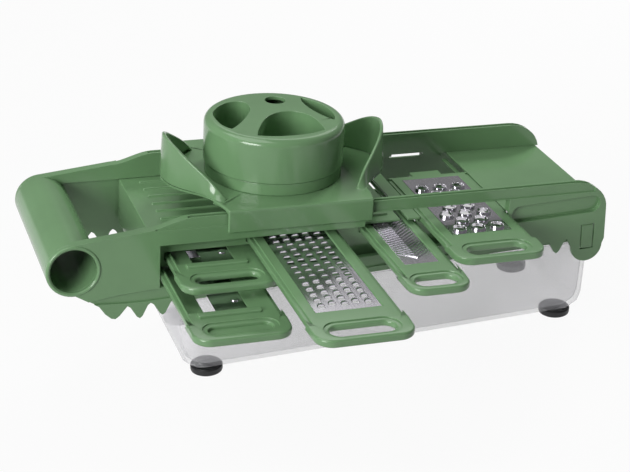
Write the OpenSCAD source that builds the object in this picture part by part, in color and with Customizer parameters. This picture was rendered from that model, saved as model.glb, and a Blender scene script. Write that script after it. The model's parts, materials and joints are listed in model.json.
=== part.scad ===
// Mandoline slicer on a clear food container, with five slide-in inserts and a sliding hand guard.
// Millimetres, +Z up, X along the deck (handle end at -X), Y across it. Inserts pull out towards -Y.

/* [Overall] */
// Length of the slicer frame, from the handle to the end of the run-out table
frame_length = 382; // [366:1:410]
// Width over the two side walls of the slicer frame
frame_width = 115; // [113:0.5:122]
// Height of the rail tops above the table at mid length
deck_height = 116.8; // [114:0.2:126]
// Slope of the deck in degrees, handle end high
deck_tilt = 3.05; // [2.5:0.05:3.5]

/* [Rails and side walls] */
// Width of each rail's running surface
rail_width = 6.6; // [6:0.1:7.2]
// Depth of the rail beam on the infeed side, and of the channel between the rails
beam_depth = 17; // [16.6:0.1:17.3]
// Depth of the rail beam over the mouth of the working insert
beam_depth_mouth = 7.3; // [6.5:0.1:8]
// Height of the stepped-back strip at the top of the rail
ledge_drop = 6.8; // [5:0.1:6.9]
// Depth of that step
ledge_step = 1.2; // [0.6:0.1:1.6]
// Width of the guide groove in the rail top
groove_width = 2.4; // [2:0.1:2.6]
// Depth of the guide groove
groove_depth = 2.4; // [1.8:0.1:3]
// Thickness of the moulded side walls
wall = 2.4; // [2:0.1:2.8]
// Thickness of the strip under the front window
sill_thickness = 4.2; // [3.6:0.1:4.4]
// Height of the lower edge of the side walls above the table
skirt_z = 66.5; // [66:0.1:68]
// Clearance between the lowest insert and the sill of the front window
sill_clearance = 0.6; // [0.4:0.1:1]
// Length of the front window, from the infeed end wall to the run-out table
window_length = 237; // [236.8:0.1:238]
// Distance from the handle end of the frame to the window
window_inset = 73; // [72.6:0.1:73.4]
// Height of the flute pressed into the sill strip
flute_height = 7.5; // [5:0.5:8]
// Depth of the flute
flute_depth = 1.4; // [0.8:0.1:1.7]
// Height of the deep flute beside the run-out table
end_flute_height = 12; // [8:0.5:13]
// Depth of that flute
end_flute_depth = 3.2; // [2:0.1:3.6]
// Distance from the rail tops at mid length down to that flute's lower edge
end_flute_drop = 31.5; // [30:0.5:32]
// Distance from the run-out end of the frame to the end of that flute
end_flute_inset = 5; // [4:0.5:10]
// Height of the pour gap in the rear wall
pour_gap = 10; // [6:0.5:11]
// Distance from the handle end to the start of the pour gap
pour_start = 95.5; // [95:0.5:100]
// Distance from the handle end to the end of the pour gap
pour_end = 261; // [240:1:290]
// Distance from the handle end to the first small tooth
tooth_start = 79.4; // [78:0.2:81]
// Distance from the run-out end to the notch beside the latch tooth
notch_inset = 28.2; // [28:0.1:29]
// Depth of the small teeth under the side walls
tooth_depth = 9.8; // [7:0.1:11]
// Pitch of the small teeth
tooth_pitch = 14.9; // [13.5:0.1:16]
// Radius of the large round tooth that holds the latch
latch_tooth_radius = 11.5; // [10.5:0.1:12.5]
// Width of the large tooth under the handle
handle_tooth_width = 18; // [15:0.5:19]

/* [Handle] */
// Outer radius of the handle tube
handle_radius = 17.3; // [16.6:0.1:18]
// Radius of the bore through the handle tube
handle_bore = 14.6; // [13:0.1:15]
// Depth of the handle's axis under the rail tops
handle_drop = 28.9; // [27.5:0.1:30]
// Distance from the handle end to the level start of the rails
shoulder_end = 94; // [90:0.5:97]
// Length of the curved shoulder that drops to the handle
shoulder_length = 29; // [24:0.5:34]
// Drop of that shoulder
shoulder_drop = 6.4; // [5:0.1:8]

/* [Deck] */
// Depth of the infeed ramp's surface under the rail tops
ramp_depth = 17; // [16.6:0.1:17.3]
// Thickness of the ramp and the run-out table
deck_plate = 1.6; // [1.2:0.1:1.7]
// Width of the drop slit at the end of the ramp
slit_width = 5; // [4.2:0.1:5.5]
// Width of the bar between the drop slit and the working insert
bar_width = 9.2; // [8:0.2:11]
// Number of raised ribs on the ramp
rib_count = 8; // [5:1:9]
// Height of a rib
rib_height = 1.2; // [0.6:0.1:1.4]
// Width of a rib
rib_width = 1.6; // [1:0.1:2.4]
// Distance from the ramp's end wall to the start of the ribs
rib_inset = 12; // [8:0.5:20]
// Height of the infeed end wall under the ramp's surface
end_wall_height = 32.5; // [30:0.5:37]
// Thickness of the infeed end wall
end_wall = 1.8; // [1.4:0.1:2]
// Thickness of the end wall under the run-out table
outlet_wall = 2.4; // [1.8:0.1:3]
// Gap between the deck's lowest walls and the plane of the container's rim
rim_gap = 1.2; // [0.8:0.1:2]

/* [Inserts] */
// Width of a full-size insert
insert_width = 59.6; // [59:0.2:60.6]
// Length of a slicing or round-hole insert
insert_length = 132; // [128:0.5:134]
// Thickness of an insert frame
insert_thickness = 5; // [4.8:0.05:5.1]
// Length of the long coarse-grater insert
coarse_length = 156; // [154:0.5:160]
// Width of the narrow insert
narrow_width = 39; // [37:0.2:39.6]
// Clearance around an insert in its rack slot
slot_clearance = 0.4; // [0.3:0.05:0.6]
// Length of the grip, from its front edge to the shoulders
grip_length = 25; // [22:0.5:27]
// How far the grip stands wider than the insert on each side
grip_flare = 1; // [0.4:0.1:1.6]
// Corner radius of the grip
grip_corner = 11; // [8:0.5:13]
// Length of the finger slot
finger_length = 40; // [36:0.5:46]
// Width of the finger slot
finger_width = 10; // [8:0.5:12]
// Width of the finger slot on the graters
grater_finger_width = 12.5; // [10:0.5:13]
// Distance from the front edge to the middle of the finger slot
finger_inset = 13; // [12:0.5:15]
// How far the shallow dish round a finger slot reaches past it
dish_margin = 3.4; // [2:0.2:4]
// Depth of that dish
dish_depth = 0.8; // [0.4:0.1:1.2]
// Width of the lower strip along an insert's long edges
edge_strip = 2.4; // [1.6:0.2:3]
// Depth of that strip under the insert's top
edge_step = 1; // [0.6:0.1:1.2]
// Distance from the front edge to the near edge of the steel
steel_inset = 36; // [34:0.5:38]
// Thickness of the grater plates
plate_thickness = 0.8; // [0.5:0.1:1]
// How far the coarse and narrow plates lie below their frames' tops
plate_recess = 1; // [0.8:0.1:1.4]
// Height of the grip rib on a slicing insert
grip_rib = 1.6; // [1:0.1:1.7]
// Thickness of the slicing blades
blade_thickness = 1; // [0.8:0.1:1.2]
// Width of the slicing blades
blade_width = 20; // [18:0.5:21]
// Width of a full-size grater plate
plate_width = 41.4; // [39:0.2:43]
// Distance from the tail of an insert to its steel, on the round-hole and the slicing inserts
tail_margin = 6; // [6:0.5:14]
// Width of the narrow grater plate
narrow_plate_width = 23; // [21:0.2:24]
// Distance from the tail of the coarse grater to its plate
coarse_tail_margin = 8; // [6:0.5:12]
// Distance from the tail of the narrow insert to its plate
narrow_tail_margin = 12; // [8:0.5:16]
// Length of the tail tongue that enters the rear wall
tongue_length = 6.8; // [5:0.1:7]
// Width of the tail tongue
tongue_width = 22; // [18:0.5:23]

/* [Insert positions] */
// Depth of the working round-hole insert under the rail tops
round_level = 16; // [15.8:0.05:16.2]
// How far the front edge of the round-hole insert stands out of the side wall
round_out = 61.5; // [56:0.5:64]
// Depth of the coarse grater
coarse_level = 19.2; // [19.1:0.05:19.3]
// How far the coarse grater stands out
coarse_out = 137.5; // [132:0.5:140]
// Depth of the narrow grater
narrow_level = 20; // [19.9:0.1:20.4]
// How far the narrow grater stands out
narrow_out = 87.5; // [82:0.5:92]
// Depth of the thin slicer
thin_level = 27.4; // [27.3:0.05:27.5]
// How far the thin slicer stands out
thin_out = 42.5; // [38:0.5:48]
// Depth of the thick slicer
thick_level = 37.2; // [37:0.1:38]
// How far the thick slicer stands out
thick_out = 89.5; // [86:0.5:94]

/* [Container] */
// Height of the container's rim above the table
rim_z = 63.6; // [62:0.1:63.8]
// Wall thickness of the container
container_wall = 2; // [1.6:0.1:2.4]
// Draft of the container's long walls, top to bottom
container_draft = 4.5; // [3:0.5:6]
// Draft of the container's end walls, top to bottom
end_draft = 1.5; // [1:0.5:4]
// Clearance between the rim and the side walls of the frame
rim_clearance = 5.2; // [5:0.1:5.6]
// Distance from the handle end of the frame to the container's rim
rim_inset = 85; // [83:0.5:86]
// Distance from the other end of the frame to the rim
rim_outset = 4; // [3.6:0.1:5]
// Plan radius of the container's corners
container_corner = 10; // [8:0.5:16]
// Rounding of the container's long bottom edges
side_rounding = 5.5; // [4:0.5:8]
// Rounding of the container's bottom at its ends
end_rounding = 12; // [8:0.5:14]
// Radius of a rubber foot
foot_radius = 10.8; // [9:0.2:11.4]
// Height of the container's floor above the table
foot_height = 5; // [4:0.1:6]
// Distance of a foot's centre from the container's long walls, at the bottom
foot_inset = 11.4; // [11.4:0.2:16]
// Distance of a foot's centre from the container's end walls, at the bottom
foot_end_inset = 18; // [16:0.5:24]

/* [Hand guard] */
// Distance of the guard's middle from mid length of the frame, along the deck
guard_at = -28.3; // [-29:0.1:-27]
// Length of the guard's side flanges
guard_length = 93.6; // [90:0.2:96]
// Thickness of the guard plate and flanges
guard_wall = 2.6; // [2.2:0.1:2.7]
// Height of the guard plate's top over the rails
guard_top = 4; // [3.8:0.1:4.4]
// Depth of the flanges below the rail tops
flange_depth = 11.6; // [9:0.1:12]
// Clearance between the guard and the rails
guard_clearance = 0.4; // [0.3:0.05:0.6]
// Reach of the guard's noses from its middle
nose_reach = 75.7; // [72:0.1:78]
// Rounding of the noses in plan
nose_radius = 12; // [8:0.5:14]
// Height of the finger wings over the guard plate
wing_height = 31.5; // [26:0.5:34]
// Thickness of the finger wings
wing_wall = 2.4; // [2:0.1:3]
// Height of the collar over the guard plate
collar_height = 8; // [7:0.1:8.2]

/* [Pusher] */
// Radius of the pusher cap
cap_radius = 46.2; // [45.4:0.1:46.8]
// Height of the cap's top over the rails
cap_top = 41.5; // [39:0.5:45]
// Rounding of the cap's top edge
cap_rounding = 5; // [3:0.5:6]
// Wall thickness of the cap
cap_wall = 2.6; // [2:0.1:2.8]
// Outer radius of the sliding sleeve
sleeve_radius = 40.4; // [39.8:0.1:40.8]
// Running clearance of the sleeve in the collar
sleeve_clearance = 0.4; // [0.3:0.05:0.5]
// Depth of the sleeve's lower edge under the rail tops
sleeve_depth = 9.6; // [9:0.1:9.8]
// Depth of the finger pockets
pocket_depth = 20; // [14:0.5:21]
// Radius of the round hole in the cap
cap_hole_radius = 6.8; // [5:0.1:7.5]
// Number of holding pins on the outer ring of the disc
pin_count = 10; // [6:1:14]
// Radius of a holding pin
pin_radius = 0.9; // [0.7:0.05:1.1]
// Length of the pins under the disc
pin_length = 3.4; // [2.6:0.1:3.6]

/* [Hidden] */
$fn = 64;

green = "#6f8f6c";
clear = [0.86, 0.86, 0.9, 0.35];
steel = "#b9bcbf";
rubber = "#2a2a2c";

eps = 0.01;
left_x = -frame_length / 2;
right_x = frame_length / 2;
half_w = frame_width / 2;
inner_y = half_w - rail_width;
window_u0 = left_x + window_inset;
window_u1 = window_u0 + window_length;
ramp_u0 = window_u0 - 2.4;
table_u0 = window_u1 + 0.2;

// Middle of each insert along the deck
thin_at = window_u0 + 35.4;
thick_at = window_u0 + 0.5 + insert_width / 2 + slot_clearance;
coarse_at = window_u0 + 89;
narrow_at = window_u0 + 155.2;
round_at = table_u0 - slot_clearance - insert_width / 2;

// The ramp ends where the bar and the slit in front of the working insert begin
bar_u0 = round_at - insert_width / 2 - slot_clearance - bar_width;
ramp_u1 = bar_u0 - slit_width;

// World X and Z of a point on the deck, u along the rails and w above their tops
function on_deck(u, w) = [
    u * cos(deck_tilt) + w * sin(deck_tilt),
    deck_height + w * cos(deck_tilt) - u * sin(deck_tilt)
];
// Depth w at which a point of the deck at u has world height z
function w_at(u, z) = (z - deck_height + u * sin(deck_tilt)) / cos(deck_tilt);
// Smooth step from 0 to 1
function smooth(s) = s * s * (3 - 2 * s);

// Places its children in the deck's tilted frame
module deck() translate([0, 0, deck_height]) rotate([0, deck_tilt, 0]) children();

// Extrudes an X-Z outline from y0 to y1
module across(y0, y1) translate([0, y1, 0]) rotate([90, 0, 0]) linear_extrude(y1 - y0) children();

// Box from one corner to the other
module box(a, b) translate(a) cube(b - a);

// ---------- side walls ----------

handle_axis = on_deck(left_x + handle_radius + 1.3, -handle_drop);
handle_x = left_x + handle_radius;
handle_z = handle_axis[1];
shoulder_u = left_x + shoulder_end;
end_round = [24, 20];
rail_end_u = right_x + 1.1;
latch_x = right_x - latch_tooth_radius - 1.5;
latch_tooth_z = skirt_z - 6.3;

function shoulder_points() = [
    for (i = [0 : 8])
        on_deck(shoulder_u - shoulder_length * (1 - i / 8), -shoulder_drop * (1 - smooth(i / 8)))
];
function rail_end_points() = [
    for (a = [90 : -10 : 0])
        on_deck(rail_end_u - end_round[0] * (1 - cos(a)), -end_round[1] * (1 - sin(a)))
];
// Lower edge of a run of small teeth, from x0 going to -X
function teeth(x0, count) = [
    for (i = [0 : 8 * count])
        [x0 - i * tooth_pitch / 8, skirt_z + 1 - tooth_depth * (0.5 - 0.5 * cos(i * 45))]
];

notch_right = right_x - notch_inset;
first_notch_left = left_x + tooth_start;
// The window's sill passes under the lowest insert
sill_z = on_deck(thick_at + insert_width / 2, -thick_level - insert_thickness - sill_clearance)[1];

// Outline of a side wall without its openings
module side_outline() {
    polygon(concat(
        [[handle_x, handle_z + handle_radius]],
        shoulder_points(),
        rail_end_points(),
        [[right_x, latch_tooth_z + 4], [latch_x + latch_tooth_radius, latch_tooth_z]],
        [[latch_x - latch_tooth_radius, latch_tooth_z]],
        teeth(notch_right, 1),
        [[notch_right - tooth_pitch - 0.6, skirt_z], [first_notch_left + 0.6, skirt_z]],
        teeth(first_notch_left, 2),
        [
            [first_notch_left - 2 * tooth_pitch - handle_tooth_width * 0.3, skirt_z - 5],
            [first_notch_left - 2 * tooth_pitch - handle_tooth_width * 0.45, skirt_z - 6.8],
            [first_notch_left - 2 * tooth_pitch - handle_tooth_width * 0.6, skirt_z - 6],
            [first_notch_left - 2 * tooth_pitch - handle_tooth_width * 0.8, skirt_z - 2.4],
            [first_notch_left - 2 * tooth_pitch - handle_tooth_width, skirt_z + 3.6],
            [first_notch_left - 2 * tooth_pitch - handle_tooth_width * 1.35, skirt_z + 7.8],
            [handle_x, handle_z - handle_radius]
        ]
    ));
    translate([handle_x, handle_z]) circle(handle_radius);
    translate([latch_x, latch_tooth_z]) circle(latch_tooth_radius);
}

// Band of the side wall that is as thick as the rail
module rail_band() {
    polygon([
        on_deck(left_x - 5, -beam_depth), on_deck(left_x - 5, 5),
        on_deck(right_x + 5, 5), on_deck(right_x + 5, -beam_depth)
    ]);
}

// Opening under the deep part of the beam and under the working insert's mouth
mouth_u0 = bar_u0 - 32;
module front_window() {
    polygon([
        on_deck(window_u0, w_at(window_u0, sill_z)), on_deck(window_u0, -beam_depth - eps),
        on_deck(mouth_u0, -beam_depth - eps), on_deck(mouth_u0, -beam_depth_mouth),
        on_deck(table_u0, -beam_depth_mouth), on_deck(table_u0, w_at(table_u0, sill_z))
    ]);
}

// U-shaped slot that frees the latch tongue
tongue_w = 8.6;
tongue_h = 17.4;
tongue_gap = 0.7;
tongue_top = skirt_z + 9.5;
module latch_slot() {
    translate([latch_x - tongue_w / 2 - tongue_gap, tongue_top - tongue_h - tongue_gap])
        square([tongue_w + 2 * tongue_gap, tongue_h + tongue_gap + 0.3]);
}

// Step and groove of the rail, for a wall whose outer face is at y = -half_w
module rail_cuts() {
    deck() {
        box([shoulder_u - 24, -half_w - 1, -ledge_drop], [rail_end_u - 10, -half_w + ledge_step, 2]);
        box([shoulder_u - 3, -half_w + 3.4 - groove_width / 2, -groove_depth],
            [rail_end_u - 2, -half_w + 3.4 + groove_width / 2, 2]);
        // hollow under the running surface
        box([window_u0 + 3, -half_w + wall, -beam_depth - 1],
            [mouth_u0 - 3, -half_w + rail_width - 2, -groove_depth - 2.4]);
    }
}

seat_z = rim_z + 0.4;
seat_width = 9.5;
seat_x0 = left_x + rim_inset + 1;
seat_x1 = right_x - 7;

// Wall, thick rail and rim seat that both sides share
module side_shell(seat_top) {
    difference() {
        union() {
            across(-half_w, -half_w + wall) side_outline();
            across(-half_w, -inner_y) intersection() {
                side_outline();
                rail_band();
            }
            box([seat_x0, -half_w + wall - eps, seat_z], [seat_x1, -half_w + seat_width, seat_top]);
        }
        rail_cuts();
        translate([handle_x, 0, handle_z]) rotate([90, 0, 0])
            cylinder(h = frame_width + 2, r = handle_bore, center = true);
        translate([handle_x, 0, handle_z]) rotate([90, 0, 0])
            cylinder(h = frame_width - 2 * wall, r = handle_radius, center = true);
        across(-half_w - 1, -half_w + wall + 1) latch_slot();
    }
}

module frame_side_front() color(green) {
    difference() {
        union() {
            side_shell(skirt_z + 1.2);
            // sill strip, thicker than the wall
            box([on_deck(window_u0 - 10, 0)[0], -half_w + wall - eps, skirt_z],
                [on_deck(window_u1 + 6, 0)[0], -half_w + sill_thickness, sill_z]);
            // thickening behind the deep flute
            box([end_flute_x0 + 1, -half_w + wall - eps, end_flute_z - end_flute_height / 2 - 2],
                [end_flute_x1 + 2, -inner_y, end_flute_z + end_flute_height / 2]);
        }
        across(-half_w - 1, half_w) front_window();
        across(-half_w - 1, -half_w + flute_depth) sill_flute();
        across(-half_w - 1, -half_w + end_flute_depth)
            translate([(end_flute_x0 + end_flute_x1) / 2, end_flute_z])
                pill(end_flute_x1 - end_flute_x0, end_flute_height);
    }
}
// Flute that widens from the handle to the window's sill
flute_x0 = handle_x + 8;
module sill_flute() {
    x1 = on_deck(window_u1, 0)[0];
    top = sill_z - 0.6;
    polygon([
        [flute_x0, top - flute_height * 0.3], [flute_x0 + 20, top - flute_height * 0.05],
        [flute_x0 + 36, top], [x1, top], [x1, top - flute_height], [flute_x0 + 36, top - flute_height],
        [flute_x0 + 20, top - flute_height * 0.85], [flute_x0, top - flute_height * 0.55]
    ]);
}
// Deep flute beside the table
end_flute_x0 = on_deck(table_u0, -beam_depth)[0] + 2.5;
end_flute_x1 = right_x - end_flute_inset;
end_flute_z = deck_height - end_flute_drop + end_flute_height / 2;

module frame_side_rear() color(green) mirror([0, 1, 0]) {
    difference() {
        side_shell(skirt_z + 1.2);
        box([left_x + pour_start, -half_w - 1, skirt_z + 3],
            [left_x + pour_end, -half_w + wall + 1, skirt_z + 3 + pour_gap]);
        deck() for (p = tongue_places)
            box([p[0] - tongue_width / 2 - 1, -half_w - 1, -p[1] - tongue_thickness - 0.4],
                [p[0] + tongue_width / 2 + 1, half_w, -p[1] + 0.5]);
    }
}

module handle_tube() color(green) translate([handle_x, 0, handle_z]) rotate([90, 0, 0]) difference() {
    cylinder(h = frame_width - 2 * wall, r = handle_radius, center = true);
    cylinder(h = frame_width, r = handle_bore, center = true);
}

// ---------- deck ----------

module infeed_ramp() color(green) deck() {
    box([ramp_u0, -inner_y, -ramp_depth - deck_plate], [ramp_u1, inner_y, -ramp_depth]);
    box([ramp_u0, -inner_y, -ramp_depth - end_wall_height],
        [ramp_u0 + end_wall, inner_y, -ramp_depth - deck_plate + eps]);
    rib_pitch = (2 * inner_y - 18) / (rib_count - 1);
    for (i = [0 : rib_count - 1])
        translate([0, -inner_y + 9 + i * rib_pitch, 0])
            box([ramp_u0 + rib_inset, -rib_width / 2, -ramp_depth - eps],
                [ramp_u1 - 6, rib_width / 2, -ramp_depth + rib_height]);
}

module cross_bar() color(green) deck()
    box([bar_u0, -inner_y, -ramp_depth - deck_plate], [bar_u0 + bar_width, inner_y, -ramp_depth]);

table_end_u = right_x - 1.4;
table_depth = round_level + 0.6;
module runout_table() color(green) deck() {
    box([table_u0, -inner_y, -table_depth - deck_plate], [table_end_u, inner_y, -table_depth]);
    // end wall under the table
    box([table_end_u - outlet_wall, -inner_y, w_at(table_end_u, seat_z + rim_gap)],
        [table_end_u, inner_y, -table_depth - deck_plate + eps]);
}

// ---------- insert rack ----------

tongue_thickness = 3.6;
tongue_places = [
    [thin_at, thin_level], [thick_at, thick_level], [coarse_at, coarse_level], [round_at, round_level]
];

rack_y0 = -half_w + seat_width;
rack_y1 = rack_y0 + 2.4;
runner_width = 3.2;
runner_height = 1.4;
// Extra slot height over a slicing insert's rivets, and over an insert that lies right under the deck
rivet_room = 0.5;
open_top = 3;

// Slot for an insert in the rack plate, with room above for what stands on the insert
module rack_slot(u, width, level, above) {
    translate([u - width / 2 - slot_clearance, -level - insert_thickness - slot_clearance])
        square([width + 2 * slot_clearance, insert_thickness + 2 * slot_clearance + above]);
}
// Ledges along both edges of an insert's path
module runner(u, width, level) {
    for (s = [-1, 1])
        translate([u + s * (width / 2 - 1.2), 0, -level - insert_thickness - slot_clearance - runner_height])
            box([-runner_width / 2, rack_y1 - eps, 0], [runner_width / 2, inner_y, runner_height]);
}

module insert_rack() color(green) {
    deck() {
        difference() {
            across(rack_y0, rack_y1) difference() {
                polygon([
                    [window_u0 + 0.2, -ramp_depth - deck_plate],
                    [bar_u0 + bar_width, -ramp_depth - deck_plate],
                    [bar_u0 + bar_width, -round_level - 1],
                    [round_at + insert_width / 2 + 0.2, -round_level - 1],
                    [table_u0, -table_depth - deck_plate], [table_u0 + 3, -table_depth - deck_plate],
                    [table_u0 + 3, w_at(table_u0 + 3, seat_z + rim_gap)],
                    [window_u0 + 0.2, w_at(window_u0, seat_z + rim_gap)]
                ]);
                rack_slot(thin_at, insert_width, thin_level, rivet_room);
                rack_slot(thick_at, insert_width, thick_level, rivet_room);
                rack_slot(coarse_at, insert_width, coarse_level, open_top);
                rack_slot(narrow_at, narrow_width, narrow_level, open_top);
                rack_slot(round_at, insert_width, round_level, open_top);
            }
        }
        runner(thin_at, insert_width, thin_level);
        runner(thick_at, insert_width, thick_level);
        runner(coarse_at, insert_width, coarse_level);
        runner(narrow_at, narrow_width, narrow_level);
        runner(round_at, insert_width, round_level);
    }
}

// ---------- latches ----------

module latch_tongue() color(green) {
    across(-half_w, -half_w + wall)
        translate([latch_x - tongue_w / 2, tongue_top - tongue_h]) square([tongue_w, tongue_h]);
    box([latch_x - tongue_w / 2, -half_w + wall - eps, tongue_top - tongue_h + 0.6],
        [latch_x + tongue_w / 2, -half_w + wall + 1.6, tongue_top - tongue_h + 2.6]);
}
module latch_front() latch_tongue();
module latch_rear() mirror([0, 1, 0]) latch_tongue();

// ---------- inserts ----------

// Outline with round ends, along X
module pill(length, width) {
    square([length - width, width], center = true);
    for (s = [-1, 1]) translate([s * (length - width) / 2, 0]) circle(width / 2);
}

// Plan of an insert, front edge at y = 0
module insert_plan(width, length) {
    grip = width + 2 * grip_flare;
    translate([-width / 2, grip_corner]) square([width, length - grip_corner]);
    translate([-grip / 2, grip_corner]) square([grip, grip_length - grip_corner]);
    translate([-grip / 2 + grip_corner, 0]) square([grip - 2 * grip_corner, grip_length]);
    for (s = [-1, 1]) translate([s * (grip / 2 - grip_corner), grip_corner]) circle(grip_corner);
}

// Slab from the underside (w = -insert_thickness) to the top (w = 0)
module insert_slab(width, length) translate([0, 0, -insert_thickness]) linear_extrude(insert_thickness)
    insert_plan(width, length);

// Slot of a given width for a fingertip, and the shallow dish round it
module finger_slot(width, opening) translate([0, finger_inset, -insert_thickness - 1])
    linear_extrude(insert_thickness + 2) pill(min(finger_length, width - 12), opening);
module finger_dish(width, opening) translate([0, finger_inset, -dish_depth])
    linear_extrude(insert_thickness)
        pill(min(finger_length, width - 12) + 2 * dish_margin, opening + 2 * dish_margin);
// Lower strips along both long edges, behind the grip
module edge_strips(width, length) for (s = [-1, 1]) translate([s * width / 2, 0, 0])
    box([-edge_strip, grip_length - 4, -edge_step], [edge_strip, length - edge_strip, 1]);

module tail_tongue(length) translate([-tongue_width / 2, length - eps, -tongue_thickness])
    cube([tongue_width, tongue_length, tongue_thickness]);

// Puts an insert at its place: u of its middle, depth, and how far it stands out of the wall
module at_insert(u, level, out) deck() translate([u, -half_w - out, -level]) children();

seat_depth = 1.2;
gap_width = 5.5;
blade_u0 = -9.5;
blade_length = insert_length - steel_inset - 2 * tail_margin;
rivet_radius = 2.6;
rivet_inset = 12;
rivet_u = blade_u0 + blade_width - 4.6;

// Frame of a slicing insert: a drop for the slice, a gap in front of the blade and the blade's seat
module slicer_frame(drop, through) {
    difference() {
        union() {
            insert_slab(insert_width, insert_length);
            tail_tongue(insert_length);
            box([-22, grip_length + 3, -eps], [18, grip_length + 8, grip_rib]);
        }
        box([blade_u0 - gap_width, steel_inset, -insert_thickness - 1],
            [blade_u0 + blade_width * 0.35, steel_inset + blade_length, 1]);
        box([-insert_width / 2 + 4, steel_inset, -drop],
            [blade_u0 - gap_width + eps, steel_inset + blade_length, 1]);
        box([blade_u0 - 0.1, steel_inset - 0.1, -seat_depth],
            [blade_u0 + blade_width + 0.1, steel_inset + blade_length + 0.1, 1]);
        for (y = [rivet_inset, blade_length - rivet_inset])
            translate([rivet_u, steel_inset + y, -insert_thickness - 1])
                cylinder(h = insert_thickness + 2, r = 1.6);
        finger_dish(insert_width, finger_width);
        if (through) finger_slot(insert_width, finger_width);
        else translate([0, 0, insert_thickness - 1.8]) finger_slot(insert_width, finger_width);
        edge_strips(insert_width, insert_length);
    }
}
module slicer_blade() difference() {
    translate([0, 0, -seat_depth]) linear_extrude(blade_thickness) polygon([
        [blade_u0, steel_inset], [blade_u0 + blade_width, steel_inset],
        [blade_u0 + blade_width, steel_inset + blade_length], [blade_u0, steel_inset + blade_length]
    ]);
    for (y = [rivet_inset, blade_length - rivet_inset])
        translate([rivet_u, steel_inset + y, -insert_thickness]) cylinder(h = insert_thickness + 1, r = 1.6);
}
module slicer_rivets() for (y = [rivet_inset, blade_length - rivet_inset])
    translate([rivet_u, steel_inset + y, 0]) {
        translate([0, 0, -insert_thickness]) cylinder(h = insert_thickness - 0.2, r = 1.5);
        translate([0, 0, blade_thickness - seat_depth]) cylinder(h = 0.6, r = rivet_radius);
    }

// Frame of a grater: a window under the plate and a seat round it
module grater_frame(width, length, p_width, p_length, recess, tongue) difference() {
    union() {
        insert_slab(width, length);
        if (tongue) tail_tongue(length);
    }
    box([-p_width / 2 - 0.1, steel_inset - 0.1, -recess - plate_thickness],
        [p_width / 2 + 0.1, steel_inset + p_length + 0.1, 1]);
    box([-p_width / 2 + 2, steel_inset + 2, -insert_thickness - 1],
        [p_width / 2 - 2, steel_inset + p_length - 2, 1]);
    finger_slot(width, grater_finger_width);
    finger_dish(width, grater_finger_width);
    edge_strips(width, length);
}

module thin_slicer_frame() color(green) at_insert(thin_at, thin_level, thin_out) slicer_frame(1.8, true);
module thin_slicer_blade() color(steel) at_insert(thin_at, thin_level, thin_out) slicer_blade();
module thin_slicer_rivets() color(steel) at_insert(thin_at, thin_level, thin_out) slicer_rivets();
module thick_slicer_frame() color(green) at_insert(thick_at, thick_level, thick_out) slicer_frame(3.6, false);
module thick_slicer_blade() color(steel) at_insert(thick_at, thick_level, thick_out) slicer_blade();
module thick_slicer_rivets() color(steel) at_insert(thick_at, thick_level, thick_out) slicer_rivets();

coarse_plate_length = coarse_length - steel_inset - coarse_tail_margin;
coarse_columns = 5;
coarse_pitch = 7.4;
coarse_hole = 4.4;
coarse_margin = 8;
coarse_stagger = 2;
coarse_rows = floor((coarse_plate_length - coarse_margin) / coarse_pitch);
module coarse_grater_frame() color(green) at_insert(coarse_at, coarse_level, coarse_out)
    grater_frame(insert_width, coarse_length, plate_width, coarse_plate_length, plate_recess, true);
module flat_plate(width, length)
    box([-width / 2, steel_inset, -plate_thickness], [width / 2, steel_inset + length, 0]);
module coarse_holes() for (i = [0 : coarse_columns - 1], j = [0 : coarse_rows - 1])
    translate([
        (i - (coarse_columns - 1) / 2) * coarse_pitch,
        steel_inset + coarse_margin + j * coarse_pitch + (i % 2) * coarse_stagger, 0
    ])
        cube([coarse_hole, coarse_hole, 4], center = true);
module coarse_grater_plate() color(steel) at_insert(coarse_at, coarse_level + plate_recess, coarse_out)
    difference() {
        flat_plate(plate_width, coarse_plate_length);
        coarse_holes();
    }

louvre_pitch = 6.4;
louvre_height = 1.3;
narrow_plate_length = insert_length - steel_inset - narrow_tail_margin;
// The near part of the narrow plate is bare
louvre_inset = 14;
louvre_count = floor((narrow_plate_length - louvre_inset - narrow_plate_width / 2) / louvre_pitch);
module narrow_grater_frame() color(green) at_insert(narrow_at, narrow_level, narrow_out)
    grater_frame(narrow_width, insert_length, narrow_plate_width, narrow_plate_length, plate_recess, false);
module narrow_grater_plate() color(steel) at_insert(narrow_at, narrow_level + plate_recess, narrow_out) {
    flat_plate(narrow_plate_width, narrow_plate_length);
    // raised chevron ridges
    half = narrow_plate_width / 2 - 1;
    for (j = [0 : louvre_count - 1])
        translate([0, steel_inset + louvre_inset + j * louvre_pitch, -eps]) linear_extrude(louvre_height)
            polygon([[-half, 0], [0, half], [half, 0], [half, 1.2], [0, half + 1.2], [-half, 1.2]]);
}

round_hole = 4.2;
round_pitch = 11;
round_plate_length = insert_length - steel_inset - tail_margin;
module round_grater_frame() color(green) at_insert(round_at, round_level, round_out)
    grater_frame(insert_width, insert_length, plate_width, round_plate_length, 0, true);
module round_grater_plate() color(steel) at_insert(round_at, round_level, round_out) difference() {
    union() {
        flat_plate(plate_width, round_plate_length);
        round_holes(round_hole + 0.8, -plate_thickness / 2, 1.8);
    }
    round_holes(round_hole, -2, 4);
}
round_rows = floor((round_plate_length - 10) / round_pitch);
// Staggered rows of three and two holes
module round_holes(r, w, h) for (j = [0 : round_rows - 1], i = [0 : 2 - (j % 2)])
    translate([(i - 1 + (j % 2) / 2) * round_pitch * 1.2, steel_inset + 7 + j * round_pitch, w])
        cylinder(h = h, r = r, $fn = 32);

// ---------- hand guard ----------

// Outline of one half of the guard plate, from flange end to flange end round the nose
guard_half = guard_length / 2;
guard_y = half_w + guard_clearance + guard_wall;
nose_angle = 37;
nose_x = nose_reach - nose_radius;
nose_edge = [nose_x + nose_radius * cos(nose_angle), nose_radius * sin(nose_angle)];
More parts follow.
